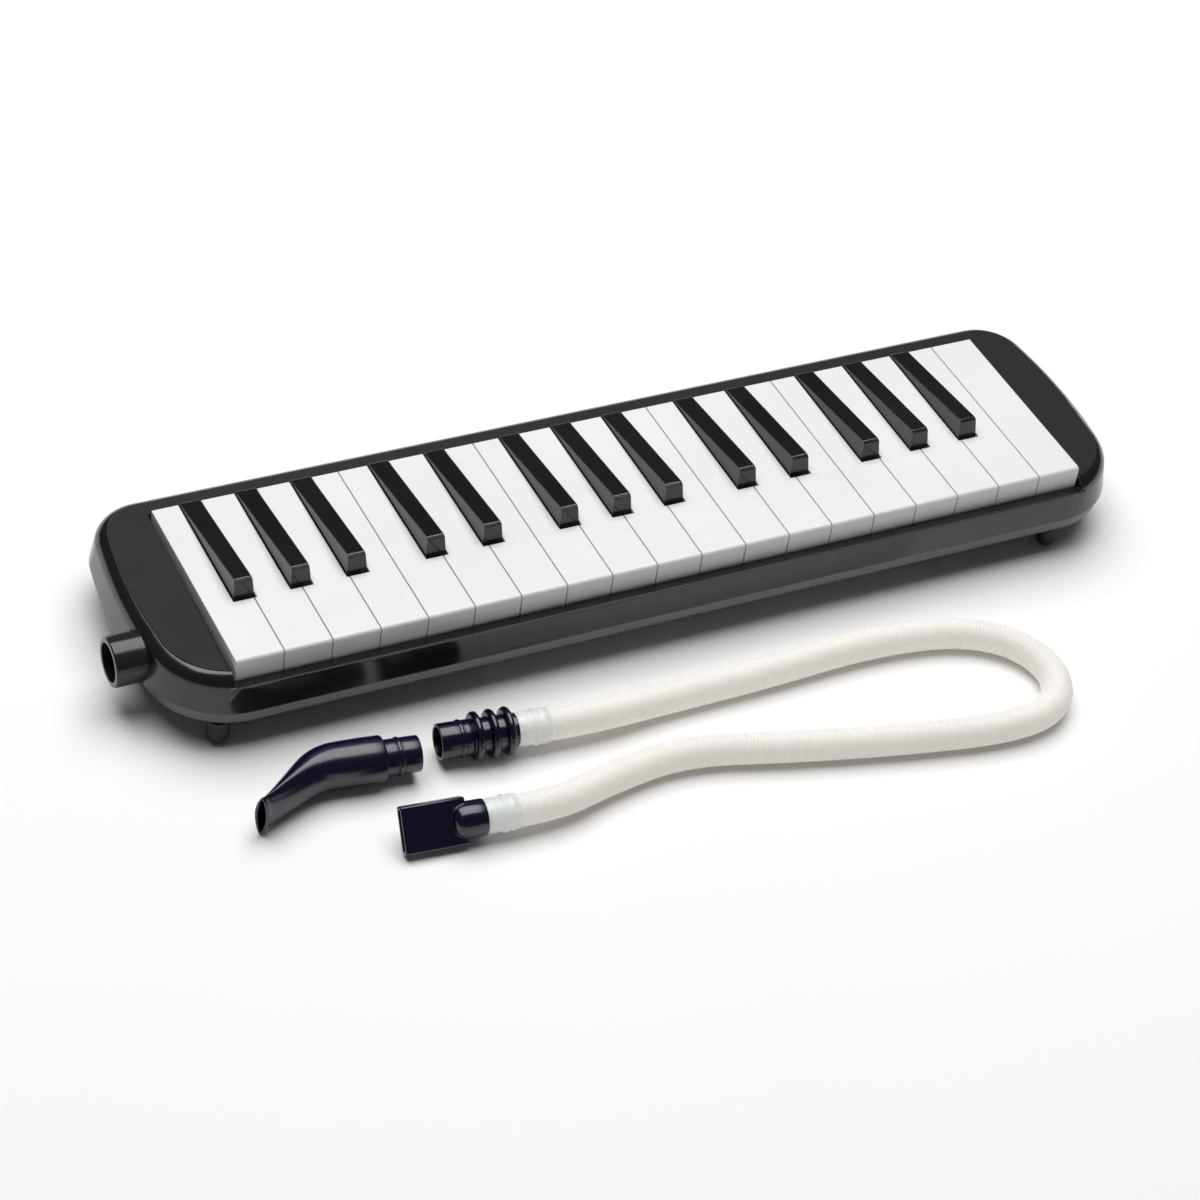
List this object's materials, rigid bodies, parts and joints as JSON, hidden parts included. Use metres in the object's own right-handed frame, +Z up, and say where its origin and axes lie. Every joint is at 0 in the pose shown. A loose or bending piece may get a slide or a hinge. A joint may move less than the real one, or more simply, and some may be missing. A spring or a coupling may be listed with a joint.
{
  "type": "melodica",
  "caption": "Keyboard wind instrument with sprung piano-style keys, a reed chamber, an end blow socket, and a separate hose and short mouthpiece.",
  "frame": {"origin": "on the table, at the middle of the instrument and its loose short mouthpiece seen from above", "axes": "+X along the keyboard to the treble end, +Y to the back of the instrument, +Z up; the blow socket opens towards -X"},
  "size_m": [0.4515, 0.2117, 0.0485],
  "materials": {
    "case_gloss": "glossy black ABS",
    "panel_matte": "fine matte black",
    "key_white": "satin white ABS",
    "key_black": "glossy black ABS",
    "rubber_black": "matt rubber",
    "socket_black": "glossy black ABS",
    "mouthpiece_navy": "glossy near-black navy",
    "hose_milky": "milky soft polyethylene",
    "sleeve_clear": "clear soft vinyl",
    "felt_dark": "pressed felt",
    "chamber_plastic": "moulded ABS",
    "gasket_rubber": "closed-cell rubber",
    "reed_aluminium": "milled",
    "reed_brass": "polished",
    "steel": "plated"
  },
  "bodies": {
    "case": {"upper_case": "case_gloss", "lower_case": "case_gloss", "matte_panel": "panel_matte", "case_screws": "steel", "rubber_feet": "rubber_black", "pivot_comb": "chamber_plastic", "key_pivot_rod": "steel", "key_springs": "steel", "key_stop_felt": "felt_dark", "valve_plate": "chamber_plastic", "chamber_gasket": "gasket_rubber", "reed_chamber": "chamber_plastic", "chamber_screws": "steel", "reed_plate_low": "reed_aluminium", "reed_plate_high": "reed_aluminium", "reeds": "reed_brass", "blow_socket": "socket_black", "drain_spring": "steel"},
    "drain_valve": {"drain_button": "case_gloss", "drain_seal": "gasket_rubber"},
    "short_mouthpiece": {"mouthpiece": "mouthpiece_navy"},
    "hose_set": {"hose": "hose_milky", "hose_sleeve_a": "sleeve_clear", "hose_connector": "mouthpiece_navy", "hose_sleeve_b": "sleeve_clear", "hose_mouthpiece": "mouthpiece_navy"},
    "white_key_01": {"white_key_01": "key_white"},
    "white_key_02": {"white_key_02": "key_white"},
    "white_key_03": {"white_key_03": "key_white"},
    "white_key_04": {"white_key_04": "key_white"},
    "white_key_05": {"white_key_05": "key_white"},
    "white_key_06": {"white_key_06": "key_white"},
    "white_key_07": {"white_key_07": "key_white"},
    "white_key_08": {"white_key_08": "key_white"},
    "white_key_09": {"white_key_09": "key_white"},
    "white_key_10": {"white_key_10": "key_white"},
    "white_key_11": {"white_key_11": "key_white"},
    "white_key_12": {"white_key_12": "key_white"},
    "white_key_13": {"white_key_13": "key_white"},
    "white_key_14": {"white_key_14": "key_white"},
    "white_key_15": {"white_key_15": "key_white"},
    "white_key_16": {"white_key_16": "key_white"},
    "white_key_17": {"white_key_17": "key_white"},
    "white_key_18": {"white_key_18": "key_white"},
    "white_key_19": {"white_key_19": "key_white"},
    "black_key_01": {"black_key_01": "key_black"},
    "black_key_02": {"black_key_02": "key_black"},
    "black_key_03": {"black_key_03": "key_black"},
    "black_key_04": {"black_key_04": "key_black"},
    "black_key_05": {"black_key_05": "key_black"},
    "black_key_06": {"black_key_06": "key_black"},
    "black_key_07": {"black_key_07": "key_black"},
    "black_key_08": {"black_key_08": "key_black"},
    "black_key_09": {"black_key_09": "key_black"},
    "black_key_10": {"black_key_10": "key_black"},
    "black_key_11": {"black_key_11": "key_black"},
    "black_key_12": {"black_key_12": "key_black"},
    "black_key_13": {"black_key_13": "key_black"}
  },
  "joints": [
    {"name": "drain_button_push", "type": "slide", "parent": "case", "child": "drain_valve", "axis": [-1, 0, 0], "range_m": [0, 0.003], "stiffness_N_per_m": 350, "springref_m": -0.003, "deforming": ["drain_spring"]},
    {"name": "mouthpiece_lift", "type": "slide", "parent": "case", "child": "short_mouthpiece", "axis": [0, 0, 1], "range_m": [0, 0.08]},
    {"name": "hose_lift", "type": "slide", "parent": "case", "child": "hose_set", "axis": [0, 0, 1], "range_m": [0, 0.08]},
    {"name": "white_key_01_press", "type": "hinge", "parent": "case", "child": "white_key_01", "pos_m": [0, 0.039, 0.03], "axis": [1, 0, 0], "range_deg": [0, 3.5], "stiffness_Nm_per_rad": 0.3, "springref_deg": -8.59},
    {"name": "white_key_02_press", "type": "hinge", "parent": "case", "child": "white_key_02", "pos_m": [0, 0.039, 0.03], "axis": [1, 0, 0], "range_deg": [0, 3.5], "stiffness_Nm_per_rad": 0.3, "springref_deg": -8.59},
    {"name": "white_key_03_press", "type": "hinge", "parent": "case", "child": "white_key_03", "pos_m": [0, 0.039, 0.03], "axis": [1, 0, 0], "range_deg": [0, 3.5], "stiffness_Nm_per_rad": 0.3, "springref_deg": -8.59},
    {"name": "white_key_04_press", "type": "hinge", "parent": "case", "child": "white_key_04", "pos_m": [0, 0.039, 0.03], "axis": [1, 0, 0], "range_deg": [0, 3.5], "stiffness_Nm_per_rad": 0.3, "springref_deg": -8.59},
    {"name": "white_key_05_press", "type": "hinge", "parent": "case", "child": "white_key_05", "pos_m": [0, 0.039, 0.03], "axis": [1, 0, 0], "range_deg": [0, 3.5], "stiffness_Nm_per_rad": 0.3, "springref_deg": -8.59},
    {"name": "white_key_06_press", "type": "hinge", "parent": "case", "child": "white_key_06", "pos_m": [0, 0.039, 0.03], "axis": [1, 0, 0], "range_deg": [0, 3.5], "stiffness_Nm_per_rad": 0.3, "springref_deg": -8.59},
    {"name": "white_key_07_press", "type": "hinge", "parent": "case", "child": "white_key_07", "pos_m": [0, 0.039, 0.03], "axis": [1, 0, 0], "range_deg": [0, 3.5], "stiffness_Nm_per_rad": 0.3, "springref_deg": -8.59},
    {"name": "white_key_08_press", "type": "hinge", "parent": "case", "child": "white_key_08", "pos_m": [0, 0.039, 0.03], "axis": [1, 0, 0], "range_deg": [0, 3.5], "stiffness_Nm_per_rad": 0.3, "springref_deg": -8.59},
    {"name": "white_key_09_press", "type": "hinge", "parent": "case", "child": "white_key_09", "pos_m": [0, 0.039, 0.03], "axis": [1, 0, 0], "range_deg": [0, 3.5], "stiffness_Nm_per_rad": 0.3, "springref_deg": -8.59},
    {"name": "white_key_10_press", "type": "hinge", "parent": "case", "child": "white_key_10", "pos_m": [0, 0.039, 0.03], "axis": [1, 0, 0], "range_deg": [0, 3.5], "stiffness_Nm_per_rad": 0.3, "springref_deg": -8.59},
    {"name": "white_key_11_press", "type": "hinge", "parent": "case", "child": "white_key_11", "pos_m": [0, 0.039, 0.03], "axis": [1, 0, 0], "range_deg": [0, 3.5], "stiffness_Nm_per_rad": 0.3, "springref_deg": -8.59},
    {"name": "white_key_12_press", "type": "hinge", "parent": "case", "child": "white_key_12", "pos_m": [0, 0.039, 0.03], "axis": [1, 0, 0], "range_deg": [0, 3.5], "stiffness_Nm_per_rad": 0.3, "springref_deg": -8.59},
    {"name": "white_key_13_press", "type": "hinge", "parent": "case", "child": "white_key_13", "pos_m": [0, 0.039, 0.03], "axis": [1, 0, 0], "range_deg": [0, 3.5], "stiffness_Nm_per_rad": 0.3, "springref_deg": -8.59},
    {"name": "white_key_14_press", "type": "hinge", "parent": "case", "child": "white_key_14", "pos_m": [0, 0.039, 0.03], "axis": [1, 0, 0], "range_deg": [0, 3.5], "stiffness_Nm_per_rad": 0.3, "springref_deg": -8.59},
    {"name": "white_key_15_press", "type": "hinge", "parent": "case", "child": "white_key_15", "pos_m": [0, 0.039, 0.03], "axis": [1, 0, 0], "range_deg": [0, 3.5], "stiffness_Nm_per_rad": 0.3, "springref_deg": -8.59},
    {"name": "white_key_16_press", "type": "hinge", "parent": "case", "child": "white_key_16", "pos_m": [0, 0.039, 0.03], "axis": [1, 0, 0], "range_deg": [0, 3.5], "stiffness_Nm_per_rad": 0.3, "springref_deg": -8.59},
    {"name": "white_key_17_press", "type": "hinge", "parent": "case", "child": "white_key_17", "pos_m": [0, 0.039, 0.03], "axis": [1, 0, 0], "range_deg": [0, 3.5], "stiffness_Nm_per_rad": 0.3, "springref_deg": -8.59},
    {"name": "white_key_18_press", "type": "hinge", "parent": "case", "child": "white_key_18", "pos_m": [0, 0.039, 0.03], "axis": [1, 0, 0], "range_deg": [0, 3.5], "stiffness_Nm_per_rad": 0.3, "springref_deg": -8.59},
    {"name": "white_key_19_press", "type": "hinge", "parent": "case", "child": "white_key_19", "pos_m": [0, 0.039, 0.03], "axis": [1, 0, 0], "range_deg": [0, 3.5], "stiffness_Nm_per_rad": 0.3, "springref_deg": -8.59},
    {"name": "black_key_01_press", "type": "hinge", "parent": "case", "child": "black_key_01", "pos_m": [0, 0.039, 0.03], "axis": [1, 0, 0], "range_deg": [0, 4.5], "stiffness_Nm_per_rad": 0.3, "springref_deg": -8.59},
    {"name": "black_key_02_press", "type": "hinge", "parent": "case", "child": "black_key_02", "pos_m": [0, 0.039, 0.03], "axis": [1, 0, 0], "range_deg": [0, 4.5], "stiffness_Nm_per_rad": 0.3, "springref_deg": -8.59},
    {"name": "black_key_03_press", "type": "hinge", "parent": "case", "child": "black_key_03", "pos_m": [0, 0.039, 0.03], "axis": [1, 0, 0], "range_deg": [0, 4.5], "stiffness_Nm_per_rad": 0.3, "springref_deg": -8.59},
    {"name": "black_key_04_press", "type": "hinge", "parent": "case", "child": "black_key_04", "pos_m": [0, 0.039, 0.03], "axis": [1, 0, 0], "range_deg": [0, 4.5], "stiffness_Nm_per_rad": 0.3, "springref_deg": -8.59},
    {"name": "black_key_05_press", "type": "hinge", "parent": "case", "child": "black_key_05", "pos_m": [0, 0.039, 0.03], "axis": [1, 0, 0], "range_deg": [0, 4.5], "stiffness_Nm_per_rad": 0.3, "springref_deg": -8.59},
    {"name": "black_key_06_press", "type": "hinge", "parent": "case", "child": "black_key_06", "pos_m": [0, 0.039, 0.03], "axis": [1, 0, 0], "range_deg": [0, 4.5], "stiffness_Nm_per_rad": 0.3, "springref_deg": -8.59},
    {"name": "black_key_07_press", "type": "hinge", "parent": "case", "child": "black_key_07", "pos_m": [0, 0.039, 0.03], "axis": [1, 0, 0], "range_deg": [0, 4.5], "stiffness_Nm_per_rad": 0.3, "springref_deg": -8.59},
    {"name": "black_key_08_press", "type": "hinge", "parent": "case", "child": "black_key_08", "pos_m": [0, 0.039, 0.03], "axis": [1, 0, 0], "range_deg": [0, 4.5], "stiffness_Nm_per_rad": 0.3, "springref_deg": -8.59},
    {"name": "black_key_09_press", "type": "hinge", "parent": "case", "child": "black_key_09", "pos_m": [0, 0.039, 0.03], "axis": [1, 0, 0], "range_deg": [0, 4.5], "stiffness_Nm_per_rad": 0.3, "springref_deg": -8.59},
    {"name": "black_key_10_press", "type": "hinge", "parent": "case", "child": "black_key_10", "pos_m": [0, 0.039, 0.03], "axis": [1, 0, 0], "range_deg": [0, 4.5], "stiffness_Nm_per_rad": 0.3, "springref_deg": -8.59},
    {"name": "black_key_11_press", "type": "hinge", "parent": "case", "child": "black_key_11", "pos_m": [0, 0.039, 0.03], "axis": [1, 0, 0], "range_deg": [0, 4.5], "stiffness_Nm_per_rad": 0.3, "springref_deg": -8.59},
    {"name": "black_key_12_press", "type": "hinge", "parent": "case", "child": "black_key_12", "pos_m": [0, 0.039, 0.03], "axis": [1, 0, 0], "range_deg": [0, 4.5], "stiffness_Nm_per_rad": 0.3, "springref_deg": -8.59},
    {"name": "black_key_13_press", "type": "hinge", "parent": "case", "child": "black_key_13", "pos_m": [0, 0.039, 0.03], "axis": [1, 0, 0], "range_deg": [0, 4.5], "stiffness_Nm_per_rad": 0.3, "springref_deg": -8.59}
  ]
}
